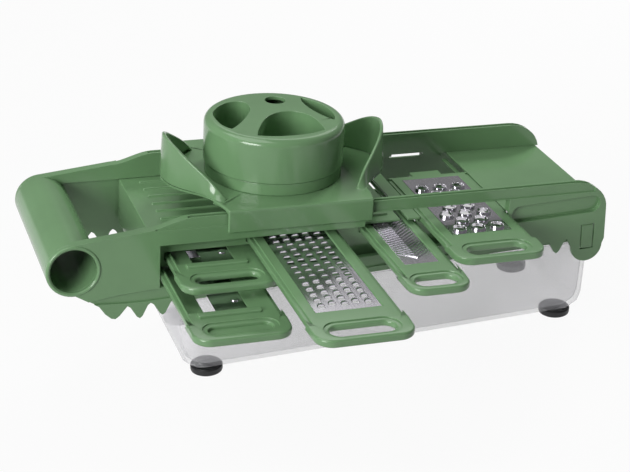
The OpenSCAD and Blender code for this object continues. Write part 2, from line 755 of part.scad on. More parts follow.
// Cubic Bezier curve through p[0] and p[3]
function bezier(p, s) = pow(1 - s, 3) * p[0] + 3 * s * pow(1 - s, 2) * p[1]
    + 3 * s * s * (1 - s) * p[2] + pow(s, 3) * p[3];
// Edge of the waist on the far side, as s goes from the nose's round (0) to the flange's end (1)
function waist(s) = bezier([
    nose_edge, nose_edge + 21 * [-sin(nose_angle), cos(nose_angle)],
    [guard_half + 0.9, guard_y - 16], [guard_half, guard_y]
], s);
function mirrored(p) = [p[0], -p[1]];
waist_steps = 9;
nose_steps = 6;
function guard_side() = concat(
    [for (i = [waist_steps : -1 : 1]) mirrored(waist(i / waist_steps))],
    [for (i = [-nose_steps : nose_steps]) let (a = i * nose_angle / nose_steps)
        [nose_x + nose_radius * cos(a), nose_radius * sin(a)]],
    [for (i = [1 : waist_steps]) waist(i / waist_steps)]
);
module guard_plan() {
    right = guard_side();
    polygon(concat(right, [for (i = [len(right) - 1 : -1 : 0]) [-right[i][0], right[i][1]]]));
}
module at_guard() deck() translate([guard_at, 0, 0]) children();

collar_bore = sleeve_radius + sleeve_clearance;
module guard_plate() color(green) at_guard() {
    difference() {
        translate([0, 0, guard_top - guard_wall]) linear_extrude(guard_wall) guard_plan();
        translate([0, 0, -1]) cylinder(h = 10, r = collar_bore);
    }
    for (s = [0, 1]) mirror([0, s, 0]) {
        box([-guard_half, -guard_y, -flange_depth],
            [guard_half, -guard_y + guard_wall, guard_top - guard_wall + eps]);
        // runner on the rail and key in its groove
        box([-guard_half + 2, -half_w + ledge_step + 0.4, guard_clearance],
            [guard_half - 2, -inner_y - 0.6, guard_top - guard_wall + eps]);
        box([-guard_half + 2, -half_w + 3.4 - groove_width / 2 + 0.4, -groove_depth + 0.5],
            [guard_half - 2, -half_w + 3.4 + groove_width / 2 - 0.4, guard_clearance + eps]);
    }
}

// Finger wing: a wall from the nose's edge up to a straight crest that falls to the flange ends
wing_lean = 0.7;
crest_radius = 12;
crest_angle = 62;
crest_inset = 11;
crest_end = [guard_half - crest_inset, guard_y - crest_inset];
crest_x = nose_reach - wing_lean - crest_radius;
crest_start = [crest_x + crest_radius * cos(crest_angle), crest_radius * sin(crest_angle)];
wing_top = guard_top + wing_height;
wing_nose_drop = 0.8;
// Share of each arm's length that the wall covers, where it is still over a millimetre high
wing_share = 0.97;

// Edge at the plate and crest of the wing at a station i, negative on the near side
wing_stations = nose_steps + waist_steps;
function wing_foot(i) = abs(i) <= nose_steps
    ? let (a = i * nose_angle / nose_steps) [nose_x + nose_radius * cos(a), nose_radius * sin(a), guard_top]
    : let (q = waist(wing_share * (abs(i) - nose_steps) / waist_steps)) [q[0], sign(i) * q[1], guard_top];
function wing_crest(i) = abs(i) <= nose_steps
    ? let (a = i * crest_angle / nose_steps, drop = wing_nose_drop * pow(i / nose_steps, 2))
        [crest_x + crest_radius * cos(a), crest_radius * sin(a), wing_top - drop]
    : let (
        s = wing_share * (abs(i) - nose_steps) / waist_steps,
        q = crest_start + s * (crest_end - crest_start)
    ) [q[0], sign(i) * q[1], wing_top - wing_nose_drop + s * (guard_top - wing_top + wing_nose_drop)];
function wing_normal(i) = let (
    along = wing_foot(min(i + 1, wing_stations)) - wing_foot(max(i - 1, -wing_stations)),
    n = cross(along, wing_crest(i) - wing_foot(i))
) n / norm(n);
// Foot and crest of the outer face, then crest and foot of the inner face, one wall behind it
function wing_section(i) = let (
    foot = wing_foot(i),
    crest = wing_crest(i),
    behind = crest - wing_wall * wing_normal(i),
    height = max(behind[2] - guard_top, 0.3 * (crest[2] - guard_top)),
    inner = [behind[0], behind[1], guard_top + height]
) [foot, crest, inner, inner + (foot - crest) * height / (crest[2] - guard_top)];
module guard_wing() {
    sections = [for (i = [-wing_stations : wing_stations]) wing_section(i)];
    last = 4 * (len(sections) - 1);
    polyhedron(
        points = [for (section = sections, p = section) p],
        faces = concat(
            [[0, 2, 1], [0, 3, 2], [last, last + 1, last + 2], [last, last + 2, last + 3]],
            [for (i = [0 : 4 : last - 4], k = [0 : 3]) [i + k, i + (k + 1) % 4, i + 4 + k]],
            [for (i = [0 : 4 : last - 4], k = [0 : 3]) [i + (k + 1) % 4, i + 4 + (k + 1) % 4, i + 4 + k]]
        )
    );
}
module guard_wing_right() color(green) at_guard() guard_wing();
module guard_wing_left() color(green) at_guard() mirror([1, 0, 0]) guard_wing();

module guard_collar() color(green) at_guard() difference() {
    translate([0, 0, guard_top]) cylinder(h = collar_height, r = cap_radius - 0.8);
    cylinder(h = 30, r = collar_bore);
}

// ---------- pusher ----------

cap_base = guard_top + collar_height + 0.4;
pocket_floor = cap_top - pocket_depth;
pocket_rim = cap_radius - cap_rounding - 2.2;
pockets = [[3.5, -18.5, 24], [-45, 19, 33.5], [75, 14, 47.5]];
hole_at = [8.7, 27.5];

module pocket_plan(p, grow) intersection() {
    circle(pocket_rim + grow);
    translate([p[0], p[1]]) circle(p[2] + grow);
}
// Outer form of the cap with its rounded top edge
module cap_form(r, top, rounding, base) rotate_extrude($fn = 96) polygon(concat(
    [[0, base], [r, base]],
    [for (a = [0 : 15 : 90]) [r - rounding + rounding * cos(a), top - rounding + rounding * sin(a)]],
    [[0, top]]
));
module pusher_cap() color(green) at_guard() {
    pocket_wall = 1.6;
    difference() {
        union() {
            difference() {
                cap_form(cap_radius, cap_top, cap_rounding, cap_base);
                cap_form(cap_radius - cap_wall, cap_top - cap_wall, cap_rounding - 1, cap_base - 1);
            }
            intersection() {
                for (p = pockets) translate([0, 0, pocket_floor - pocket_wall])
                    linear_extrude(cap_top - pocket_floor) pocket_plan(p, pocket_wall);
                cap_form(cap_radius - 0.5, cap_top - 0.5, cap_rounding, cap_base);
            }
        }
        for (p = pockets) translate([0, 0, pocket_floor]) linear_extrude(cap_top) pocket_plan(p, 0);
        translate([hole_at[0], hole_at[1], cap_base]) cylinder(h = cap_top, r = cap_hole_radius);
    }
}

flange_top = pocket_floor - 1.6;
module pusher_sleeve() color(green) at_guard() rotate_extrude($fn = 96) polygon([
    [sleeve_radius - 2.2, -sleeve_depth], [sleeve_radius, -sleeve_depth],
    [sleeve_radius, flange_top - 2.2], [cap_radius - cap_wall, flange_top - 2.2],
    [cap_radius - cap_wall, flange_top], [sleeve_radius - 2.2, flange_top]
]);

disc_thickness = 2;
pin_tip = 1.2;
pin_rings = [[sleeve_radius - 10, pin_count], [sleeve_radius - 24, round(pin_count / 2)]];
function pin_places() = [
    for (ring = pin_rings, i = [0 : ring[1] - 1])
        [ring[0] * cos(i * 360 / ring[1]), ring[0] * sin(i * 360 / ring[1])]
];
module pin_disc() color(green) at_guard() difference() {
    translate([0, 0, -sleeve_depth]) cylinder(h = disc_thickness, r = sleeve_radius - 2.2, $fn = 96);
    for (p = pin_places()) translate([p[0], p[1], -sleeve_depth - 1])
        cylinder(h = 6, r = pin_radius + 0.05, $fn = 24);
}
module holding_pins() color(steel) at_guard() for (p = pin_places()) translate([p[0], p[1], -sleeve_depth]) {
    translate([0, 0, -pin_length + pin_tip])
        cylinder(h = pin_length - pin_tip + disc_thickness, r = pin_radius, $fn = 24);
    translate([0, 0, -pin_length]) cylinder(h = pin_tip, r1 = 0.2, r2 = pin_radius, $fn = 24);
    translate([0, 0, disc_thickness]) cylinder(h = 0.8, r = pin_radius * 2, $fn = 24);
}

// ---------- container ----------

rim_x0 = left_x + rim_inset;
rim_x1 = right_x - rim_outset;
rim_y = half_w - rim_clearance;
// Rounded slab of the container at height z, inset from the rim
module container_slab(z, inset_x, inset_y, h) {
    r = container_corner;
    translate([0, 0, z]) linear_extrude(h) hull() for (x = [rim_x0 + inset_x + r, rim_x1 - inset_x - r])
        for (y = [-rim_y + inset_y + r, rim_y - inset_y - r]) translate([x, y]) circle(r, $fn = 32);
}
// Solid form of the container from its floor up to the rim, drawn in by a wall's thickness
module container_form(thick, height) hull() {
    for (a = [0 : 30 : 90])
        container_slab(
            foot_height + thick + end_rounding * (1 - cos(a)),
            end_draft + thick + end_rounding * (1 - sin(a)),
            container_draft + thick + side_rounding * (1 - sin(a)),
            eps
        );
    container_slab(rim_z - 1, rim_lip + thick, rim_lip + thick, height);
}
rim_lip = 1;
rim_band = 2.4;
module container() color(clear) difference() {
    union() {
        container_form(0, 1);
        container_slab(rim_z - rim_band, 0, 0, rim_band);
    }
    container_form(container_wall, 2);
}

foot_x0 = rim_x0 + end_draft + foot_end_inset;
foot_x1 = rim_x1 - end_draft - foot_end_inset;
foot_y = rim_y - container_draft - foot_inset;
module foot(x, y) color(rubber) translate([x, y, 0]) rotate_extrude($fn = 48) polygon([
    [0, 0], [foot_radius - 1.2, 0], [foot_radius - 0.3, 0.6], [foot_radius, 1.6],
    [foot_radius, foot_height - 0.8], [foot_radius - 0.8, foot_height], [0, foot_height]
]);
module foot_front_left() foot(foot_x0, -foot_y);
module foot_front_right() foot(foot_x1, -foot_y);
module foot_rear_left() foot(foot_x0, foot_y);
module foot_rear_right() foot(foot_x1, foot_y);

// The origin is under the middle of the whole object, inserts as far out as they stand
shift_y = ((half_w + coarse_out) - guard_y) / 2;
module placed() translate([0, shift_y, 0]) children();

placed() container();
placed() foot_front_left();
placed() foot_front_right();
placed() foot_rear_left();
placed() foot_rear_right();
placed() frame_side_front();
placed() frame_side_rear();
placed() handle_tube();
placed() infeed_ramp();
placed() cross_bar();
placed() runout_table();
placed() insert_rack();
placed() latch_front();
placed() latch_rear();
placed() thin_slicer_frame();
placed() thin_slicer_blade();
placed() thin_slicer_rivets();
placed() thick_slicer_frame();
placed() thick_slicer_blade();
placed() thick_slicer_rivets();
placed() coarse_grater_frame();
placed() coarse_grater_plate();
placed() narrow_grater_frame();
placed() narrow_grater_plate();
placed() round_grater_frame();
placed() round_grater_plate();
placed() guard_plate();
placed() guard_wing_left();
placed() guard_wing_right();
placed() guard_collar();
placed() pusher_cap();
placed() pusher_sleeve();
placed() pin_disc();
placed() holding_pins();
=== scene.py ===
"""Mandoline slicer on a clear food container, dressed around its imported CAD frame.

Laid out as an add-on: sizes and colours are properties, each piece or group of like pieces is an
operator, and a panel in the 3D view's sidebar lists them. Metres throughout, in the frame's axes.
"""

import json
import math

import bmesh
import bpy
from mathutils import Matrix, Vector
from mathutils.bvhtree import BVHTree
from mathutils.kdtree import KDTree


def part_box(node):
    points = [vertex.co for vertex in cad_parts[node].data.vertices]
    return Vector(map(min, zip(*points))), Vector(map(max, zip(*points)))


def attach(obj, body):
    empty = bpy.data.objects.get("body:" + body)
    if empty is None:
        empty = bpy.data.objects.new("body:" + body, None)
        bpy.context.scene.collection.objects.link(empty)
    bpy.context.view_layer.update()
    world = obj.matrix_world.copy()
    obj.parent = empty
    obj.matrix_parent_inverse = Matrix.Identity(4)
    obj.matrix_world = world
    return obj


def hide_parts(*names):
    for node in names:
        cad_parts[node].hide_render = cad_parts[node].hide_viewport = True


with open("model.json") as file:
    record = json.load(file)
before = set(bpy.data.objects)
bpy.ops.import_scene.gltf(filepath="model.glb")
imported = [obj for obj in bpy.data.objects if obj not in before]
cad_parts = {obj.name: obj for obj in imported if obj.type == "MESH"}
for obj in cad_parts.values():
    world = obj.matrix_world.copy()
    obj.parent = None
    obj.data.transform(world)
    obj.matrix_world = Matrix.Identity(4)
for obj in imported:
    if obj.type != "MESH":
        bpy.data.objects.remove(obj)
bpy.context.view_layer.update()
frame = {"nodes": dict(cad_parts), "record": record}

bl_info = {
    "name": "Mandoline Slicer",
    "version": (1, 0, 0),
    "blender": (4, 5, 0),
    "location": "View3D > Sidebar > Slicer",
    "description": "Builds the pieces and finishes of a mandoline slicer around its CAD frame",
    "category": "Object",
}

MM = 0.001
MIDDLE_Y = sum(p.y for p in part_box("cross_bar")) / 2  # the slicer's middle plane


class SlicerSizes(bpy.types.PropertyGroup):
    """Sizes of the pieces that are modelled here."""

    deck_tilt: bpy.props.FloatProperty(
        name="Deck Tilt", description="Slope of the deck",
        default=math.radians(3.05), subtype="ANGLE")
    deck_height: bpy.props.FloatProperty(
        name="Deck Height", description="Height of the rail tops at mid length",
        default=116.8 * MM, unit="LENGTH")
    guard_at: bpy.props.FloatProperty(
        name="Guard Place", description="Middle of the guard along the deck",
        default=-28.3 * MM, unit="LENGTH")
    edge_round: bpy.props.FloatProperty(
        name="Edge Round", description="Radius of the moulded outer edges",
        default=0.6 * MM, unit="LENGTH")


class SlicerColours(bpy.types.PropertyGroup):
    """Colours of the finishes, as sRGB hex values."""

    green: bpy.props.StringProperty(
        name="Green", description="Moulded body colour", default="#6C9067")
    clear: bpy.props.StringProperty(
        name="Clear", description="Container tint", default="#F4F2F8")
    steel: bpy.props.StringProperty(
        name="Steel", description="Stainless sheet", default="#D6D4DA")
    rubber: bpy.props.StringProperty(
        name="Rubber", description="Black rubber", default="#1B1B1D")


def sizes():
    return bpy.context.scene.slicer_sizes


def colours():
    return bpy.context.scene.slicer_colours


# ---------- materials ----------
# A noise's scale is one over the real size of its patches.

def linear(text):
    """Linear RGBA of an sRGB hex value."""
    parts = [int(text[i:i + 2], 16) / 255 for i in (1, 3, 5)]
    return [c / 12.92 if c <= 0.04045 else ((c + 0.055) / 1.055) ** 2.4 for c in parts] + [1.0]


def shade(colour, factor):
    """The same colour, lighter or darker."""
    return [min(1.0, c * factor) for c in colour[:3]] + [1.0]


def add(tree, kind, inputs, **settings):
    """Adds a shader node with its settings, and sets or links its inputs."""
    made = tree.nodes.new("ShaderNode" + kind)
    for key, value in settings.items():
        setattr(made, key, value)
    for key, value in inputs.items():
        if isinstance(value, bpy.types.NodeSocket):
            tree.links.new(value, made.inputs[key])
        else:
            made.inputs[key].default_value = value
    return made


def start_material(name):
    """A new node material with its Principled shader and Object coordinates."""
    material = bpy.data.materials.new(name)
    material.use_nodes = True
    tree = material.node_tree
    shader = tree.nodes["Principled BSDF"]
    place = add(tree, "TexCoord", {}).outputs["Object"]
    return material, tree, shader, place


def moulded_abs():
    """Injection-moulded ABS from a polished tool: smooth gloss with a faint flow of pigment,
    a soft orange peel that bends the highlights, and hair-fine wiping marks."""
    material, tree, shader, place = start_material("moulded_abs_sage")
    base = linear(colours().green)
    flow = add(tree, "TexNoise", {"Vector": place, "Scale": 1 / (35 * MM), "Detail": 3.0,
                                  "Roughness": 0.5})
    tint = add(tree, "MapRange", {"Value": flow.outputs["Fac"], "From Min": 0.3, "From Max": 0.7,
                                  "To Min": 0.0, "To Max": 1.0})
    colour = add(tree, "Mix", {"Factor": tint.outputs["Result"], "A": shade(base, 0.95),
                               "B": shade(base, 1.05)}, data_type="RGBA")
    tree.links.new(colour.outputs[2], shader.inputs["Base Color"])
    wipe = add(tree, "TexNoise", {"Vector": place, "Scale": 1 / (6 * MM), "Detail": 4.0,
                                  "Roughness": 0.6})
    rough = add(tree, "MapRange", {"Value": wipe.outputs["Fac"], "To Min": 0.13, "To Max": 0.21})
    tree.links.new(rough.outputs["Result"], shader.inputs["Roughness"])
    peel = add(tree, "TexNoise", {"Vector": place, "Scale": 1 / (4.5 * MM), "Detail": 1.0})
    grain = add(tree, "TexNoise", {"Vector": place, "Scale": 1 / (0.7 * MM), "Detail": 2.0})
    height = add(tree, "Math", {0: grain.outputs["Fac"], 1: 0.12, 2: peel.outputs["Fac"]},
                 operation="MULTIPLY_ADD")
    bump = add(tree, "Bump", {"Strength": 0.12, "Distance": 0.1 * MM,
                              "Height": height.outputs["Value"]})
    tree.links.new(bump.outputs["Normal"], shader.inputs["Normal"])
    shader.inputs["IOR"].default_value = 1.52
    shader.inputs["Specular IOR Level"].default_value = 0.45
    return material


def clear_styrene():
    """Clear moulded styrene acrylonitrile: see-through with a pale milky haze, denser along flow
    marks, and a glossy skin."""
    material, tree, shader, place = start_material("clear_styrene_plastic")
    base = linear(colours().clear)
    haze = add(tree, "TexNoise", {"Vector": place, "Scale": 1 / (30 * MM), "Detail": 3.0})
    colour = add(tree, "Mix", {"Factor": haze.outputs["Fac"], "A": shade(base, 0.92), "B": base},
                 data_type="RGBA")
    tree.links.new(colour.outputs[2], shader.inputs["Base Color"])
    edge = add(tree, "LayerWeight", {"Blend": 0.25}).outputs["Facing"]
    veil = add(tree, "MapRange", {"Value": edge, "From Min": 0.35, "From Max": 1.0, "To Min": 0.22,
                                  "To Max": 0.85})
    thick = add(tree, "Math", {0: haze.outputs["Fac"], 1: 0.05, 2: veil.outputs["Result"]},
                operation="MULTIPLY_ADD")
    tree.links.new(thick.outputs["Value"], shader.inputs["Alpha"])
    shader.inputs["IOR"].default_value = 1.57
    shader.inputs["Roughness"].default_value = 0.08
    ripple = add(tree, "TexNoise", {"Vector": place, "Scale": 1 / (30 * MM), "Detail": 1.0})
    bump = add(tree, "Bump", {"Strength": 0.1, "Distance": 0.3 * MM,
                              "Height": ripple.outputs["Fac"]})
    tree.links.new(bump.outputs["Normal"], shader.inputs["Normal"])
    return material


def stainless_sheet():
    """Rolled stainless sheet, ground along the inserts: bright and mirror-like where it faces a
    lamp, violet grey elsewhere. Its grinding lines, too fine to show, are drawn 0.5 mm apart."""
    material, tree, shader, place = start_material("ground_stainless_steel")
    base = linear(colours().steel)
    shader.inputs["Metallic"].default_value = 1.0
    across, along = 1 / (0.5 * MM), 1 / (30 * MM)
    drawn = add(tree, "Mapping", {"Vector": place, "Scale": (across, along, across)})
    lines = add(tree, "TexNoise", {"Vector": drawn.outputs["Vector"], "Scale": 1.0, "Detail": 2.0})
    colour = add(tree, "Mix", {"Factor": lines.outputs["Fac"], "A": shade(base, 0.85),
                               "B": shade(base, 1.05)}, data_type="RGBA")
    tree.links.new(colour.outputs[2], shader.inputs["Base Color"])
    rough = add(tree, "MapRange", {"Value": lines.outputs["Fac"], "To Min": 0.1, "To Max": 0.18})
    tree.links.new(rough.outputs["Result"], shader.inputs["Roughness"])
    bump = add(tree, "Bump", {"Strength": 0.08, "Distance": 0.05 * MM,
                              "Height": lines.outputs["Fac"]})
    tree.links.new(bump.outputs["Normal"], shader.inputs["Normal"])
    return material


def black_rubber():
    """Moulded black rubber: dull, dusty in patches, with a fine pitted skin."""
    material, tree, shader, place = start_material("moulded_black_rubber")
    base = linear(colours().rubber)
    dust = add(tree, "TexNoise", {"Vector": place, "Scale": 1 / (4 * MM), "Detail": 4.0})
    colour = add(tree, "Mix", {"Factor": dust.outputs["Fac"], "A": shade(base, 0.8),
                               "B": shade(base, 1.5)}, data_type="RGBA")
    tree.links.new(colour.outputs[2], shader.inputs["Base Color"])
    rough = add(tree, "MapRange", {"Value": dust.outputs["Fac"], "To Min": 0.35, "To Max": 0.55})
    tree.links.new(rough.outputs["Result"], shader.inputs["Roughness"])
    pits = add(tree, "TexNoise", {"Vector": place, "Scale": 1 / (0.8 * MM), "Detail": 2.0})
    bump = add(tree, "Bump", {"Strength": 0.3, "Distance": 0.05 * MM,
                              "Height": pits.outputs["Fac"]})
    tree.links.new(bump.outputs["Normal"], shader.inputs["Normal"])
    return material


FINISHES = {
    "green_plastic": moulded_abs, "clear_plastic": clear_styrene,
    "steel": stainless_sheet, "rubber": black_rubber,
}
made_finishes = {}


def finish(slot):
    """The material of a slot, made once."""
    if slot not in made_finishes:
        made_finishes[slot] = FINISHES[slot]()
    return made_finishes[slot]


def slot_of(node):
    """The material slot that the record gives a CAD node."""
    for part in frame["record"]["subparts"]:
        if part["node"] == node:
            return part["material_slot"]
    raise ValueError(f"no slot for {node}")


def body_of(node):
    """The body that a CAD node belongs to."""
    for body, nodes in frame["record"]["behaviour"]["bodies"].items():
        if node in nodes:
            return body
    raise ValueError(f"no body for {node}")


# ---------- modelling helpers ----------

def deselect():
    """Leaves edit mode, with nothing selected."""
    if bpy.context.object and bpy.context.object.mode != "OBJECT":
        bpy.ops.object.mode_set(mode="OBJECT")
    bpy.ops.object.select_all(action="DESELECT")


def only(piece):
    """Makes piece the one selected and active object."""
    deselect()
    piece.select_set(True)
    bpy.context.view_layer.objects.active = piece


def apply_modifier(piece, kind, **settings):
    """Adds a modifier with its settings and applies it."""
    only(piece)
    modifier = piece.modifiers.new(kind.title(), kind)
    for key, value in settings.items():
        setattr(modifier, key, value)
    bpy.ops.object.modifier_apply(modifier=modifier.name)


def face_outwards(piece):
    """Turns every face of a piece outwards."""
    only(piece)
    bpy.ops.object.mode_set(mode="EDIT")
    bpy.ops.mesh.select_all(action="SELECT")
    bpy.ops.mesh.normals_make_consistent(inside=False)
    bpy.ops.object.mode_set(mode="OBJECT")


ROUND_SEGMENTS, SHARP_ANGLE, INNER_ROUND = 3, 32.0, 0.4 * MM
# In widths of the rounding: the gap between two sharp edges that leaves room for it, the step
# between the points at which gaps are measured, and the furthest that a corner may move
FULL_ROOM, SAMPLE_STEP, LONGEST_SPIKE = 2.3, 0.8, 0.75
AHEAD = 0.7  # cosine above which a near point lies ahead on the edge's own line, not beside it
TOUCHING = 1e-7
LEAST_SHARE = 0.08  # an edge with room for less of the rounding than this stays sharp
ROUND_TRIES, LESS_WIDTH = 4, 0.7  # each further try has this share of the last one's width


def weigh_edges(mesh, width, angle, inner):
    """Gives every sharp edge a bevel weight: full, or less where the next edge is too near, and at
    most inner wide in inner corners, so that sliding pieces stay clear of each other."""
    weight = mesh.edges.layers.float.new("bevel_weight_edge")
    mesh.edges.index_update()
    sharp = [e for e in mesh.edges
             if len(e.link_faces) == 2 and e.calc_face_angle(0) > math.radians(angle)]
    samples = []
    for edge in sharp:
        start, end = edge.verts[0].co, edge.verts[1].co
        count = max(1, math.ceil((end - start).length / (width * SAMPLE_STEP)))
        samples += [(start.lerp(end, (i + 0.5) / count), edge.index) for i in range(count)]
    tree = KDTree(len(samples))
    for i, (place, _) in enumerate(samples):
        tree.insert(place, i)
    tree.balance()
    along = {e.index: (e.verts[1].co - e.verts[0].co).normalized() for e in sharp}
    room = {e.index: width * FULL_ROOM for e in sharp}
    for place, at in samples:
        for near, i, gap in tree.find_range(place, width * FULL_ROOM):
            other = samples[i][1]
            if other == at or gap >= room[at] or gap < TOUCHING:
                continue
            way = (near - place) / gap
            if abs(way.dot(along[at])) < AHEAD and abs(way.dot(along[other])) < AHEAD:
                room[at] = gap
    for edge in sharp:
        share = min(1.0, room[edge.index] / (width * FULL_ROOM))
        if not edge.is_convex:
            share = min(share, inner / width)
        edge[weight] = share if share > LEAST_SHARE else 0.0


def round_edges(piece, width, segments=ROUND_SEGMENTS, angle=SHARP_ANGLE, inner=INNER_ROUND):
    """Rounds every edge sharper than angle, narrow steps and grooves less. Where a corner would
    spike out of the form, the whole piece is rounded less."""
    plain = bmesh.new()
    plain.from_mesh(piece.data)
    bmesh.ops.triangulate(plain, faces=[f for f in plain.faces if len(f.verts) > 4])
    skin = BVHTree.FromBMesh(plain)
    for _ in range(ROUND_TRIES):
        mesh = plain.copy()
        weigh_edges(mesh, width, angle, inner)
        mesh.to_mesh(piece.data)
        mesh.free()
        apply_modifier(piece, "BEVEL", width=width, segments=segments, limit_method="WEIGHT",
                       use_clamp_overlap=False, loop_slide=False)
        spike = max(skin.find_nearest(v.co)[3] for v in piece.data.vertices)
        if spike < width * LONGEST_SPIKE:
            break
        width *= LESS_WIDTH
    plain.free()


def smooth(piece, angle=40.0):
    """Smooth shading that keeps broad faces flat up to their rounded edges."""
    only(piece)
    bpy.ops.object.shade_smooth_by_angle(angle=math.radians(angle))
    apply_modifier(piece, "WEIGHTED_NORMAL", weight=90, keep_sharp=True)


def dress(piece, slot, body, *nodes):
    """Gives a piece its finish and its body, and hides the CAD nodes it stands for."""
    piece.data.materials.clear()
    piece.data.materials.append(finish(slot))
    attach(piece, body)
    if nodes:
        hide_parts(*nodes)


def from_node(node, name):
    """A copy of a CAD node's mesh as a new piece, its triangles merged into whole faces."""
    piece = bpy.data.objects.new(name, frame["nodes"][node].data.copy())
    bpy.context.scene.collection.objects.link(piece)
    only(piece)
    bpy.ops.object.mode_set(mode="EDIT")
    bpy.ops.mesh.select_all(action="SELECT")
    bpy.ops.mesh.remove_doubles(threshold=0.002 * MM)
    bpy.ops.mesh.dissolve_limited(angle_limit=math.radians(0.6))
    bpy.ops.mesh.customdata_custom_splitnormals_clear()
    bpy.ops.object.mode_set(mode="OBJECT")
    return piece


def soften(node, width, inner):
    """Stands in for a CAD node with the same form and rounded edges."""
    piece = from_node(node, node + "_soft")
    round_edges(piece, width, inner=inner)
    smooth(piece)
    dress(piece, slot_of(node), body_of(node), node)


def deck():
    """Turns deck coordinates (along, across, up from the rail tops) into the frame's axes."""
    middle = Matrix.Translation((0, MIDDLE_Y, sizes().deck_height))
    return middle @ Matrix.Rotation(sizes().deck_tilt, 4, "Y")


def guard_place():
    """Turns coordinates from the middle of the guard into the frame's axes."""
    return deck() @ Matrix.Translation((sizes().guard_at, 0, 0))


def settle(piece, matrix):
    """Moves a piece to its place, which goes into its mesh."""
    only(piece)
    piece.matrix_world = matrix @ piece.matrix_world
    bpy.ops.object.transform_apply(location=True, rotation=True, scale=True)


CIRCLE_SIDES, SHOULDER_SEGMENTS = 96, 7


def drum(radius, low, high, at=(0, 0), vertices=CIRCLE_SIDES, rounding=0.0):
    """A cylinder from low to high, with its upper edge rounded."""
    deselect()
    bpy.ops.mesh.primitive_cylinder_add(vertices=vertices, radius=radius, depth=high - low,
                                        location=(at[0], at[1], (low + high) / 2))
    piece = bpy.context.object
    if rounding:
        bpy.ops.object.mode_set(mode="EDIT")
        mesh = bmesh.from_edit_mesh(piece.data)
        for edge in mesh.edges:
            edge.select_set(all(v.co.z > 0 for v in edge.verts))
        bmesh.update_edit_mesh(piece.data)
        bpy.ops.mesh.bevel(offset=rounding, segments=SHOULDER_SEGMENTS)
        bpy.ops.object.mode_set(mode="OBJECT")
    return piece


def cut(piece, tool):
    """Cuts a tool's form out of a piece, and removes the tool."""
    apply_modifier(piece, "BOOLEAN", object=tool, operation="DIFFERENCE", solver="EXACT")
    bpy.data.objects.remove(tool)


def join(name, pieces):
    """Joins pieces into the first, under a new name."""
    deselect()
    for piece in pieces:
        piece.select_set(True)
    bpy.context.view_layer.objects.active = pieces[0]
    bpy.ops.object.join()
    pieces[0].name = name
    return pieces[0]


def copy_to(pattern, place):
    """A copy of a piece at a place, with its own mesh."""
    copy = pattern.copy()
    copy.data = pattern.data.copy()
    copy.location = place
    bpy.context.scene.collection.objects.link(copy)
    return copy


# ---------- rounded mouldings ----------

# Insert frames slide through slots: a wider rounding, and nothing filled in their inner corners
INSERT_ROUND = {"thin_slicer_frame": 1.5 * MM, "thick_slicer_frame": 1.5 * MM,
                "coarse_grater_frame": 1.5 * MM, "narrow_grater_frame": 1.5 * MM,
                "round_grater_frame": 1.0 * MM}
HAND_MADE = ("pusher_cap", "guard_wing_left", "guard_wing_right", "guard_plate")


class SLICER_OT_soft_nodes(bpy.types.Operator):
    """Rounds the edges of every green moulding that has no operator of its own"""

    bl_idname = "slicer.soft_nodes"
    bl_label = "Rounded Mouldings"

    def execute(self, context):
        for part in frame["record"]["subparts"]:
            node = part["node"]
            if node in INSERT_ROUND:
                soften(node, INSERT_ROUND[node], 0)
            elif part["material_slot"] == "green_plastic" and node not in HAND_MADE:
                soften(node, sizes().edge_round, INNER_ROUND)
        return {"FINISHED"}


# ---------- pusher cap ----------

CAP_RADIUS, CAP_WALL = 46.2 * MM, 2.6 * MM
CAP_BASE, CAP_TOP = 12.4 * MM, 41.5 * MM
CAP_SHOULDER, CAP_HOLLOW_SHOULDER = 5 * MM, 4 * MM
CAP_ROUND, CAP_INNER_ROUND, CAP_SEGMENTS = 1.2 * MM, 2 * MM, 4
CAP_HOLE_RADIUS, CAP_HOLE_PLACE, CAP_HOLE_SIDES = 6.8 * MM, (8.7 * MM, 27.5 * MM), 48
POCKET_FLOOR, POCKET_WALL = 21.5 * MM, 1.6 * MM
PAST = MM  # how far a cutting tool reaches past what it cuts
# Finger pockets in millimetres: each has the points of its inner curve, from one sharp corner to
# the other, and those of the edge that runs back along the rim
POCKETS = (
    (((-20.9, -31.4), (-17.6, -22.3), (-10.4, -8.5), (-3.7, 0.2), (4.3, 5.3), (13.0, 5.7),
      (18.6, 2.2), (22.5, -3.9), (24.4, -12.1), (24.9, -23.0), (24.6, -30.0)),
     ((14.8, -34.0), (5.3, -35.3), (-3.8, -35.4), (-12.5, -34.2))),
    (((-38.0, 13.5), (-32.6, 21.8), (-24.5, 28.6), (-17.0, 29.8), (-12.6, 26.5), (-11.6, 20.5),
      (-12.9, 13.5), (-17.6, 3.8), (-24.9, -7.2), (-31.0, -14.5), (-34.2, -17.2)),
     ((-38.2, -9.5), (-39.3, 1.0), (-39.2, 8.0))),
    (((36.2, -14.6), (34.0, -10.9), (30.1, -2.2), (26.9, 9.6), (25.9, 21.1), (27.0, 28.6)),
     ((32.6, 22.2), (37.2, 13.0), (39.4, 2.0), (38.9, -7.0))),
)
CURVE_STEPS, RIM_STEPS = 4, 3  # straight pieces between two points of a curve


def curve(points, t):
    """A smooth path through points: whole numbers of t are the points themselves."""
    i = min(int(t), len(points) - 2)
    t -= i
    a, b, c, d = (points[max(0, min(len(points) - 1, i + k))] for k in (-1, 0, 1, 2))
    return [0.5 * (2 * q + (r - p) * t + (2 * p - 5 * q + 4 * r - s) * t ** 2
                   + (3 * q - p - 3 * r + s) * t ** 3) for p, q, r, s in zip(a, b, c, d)]


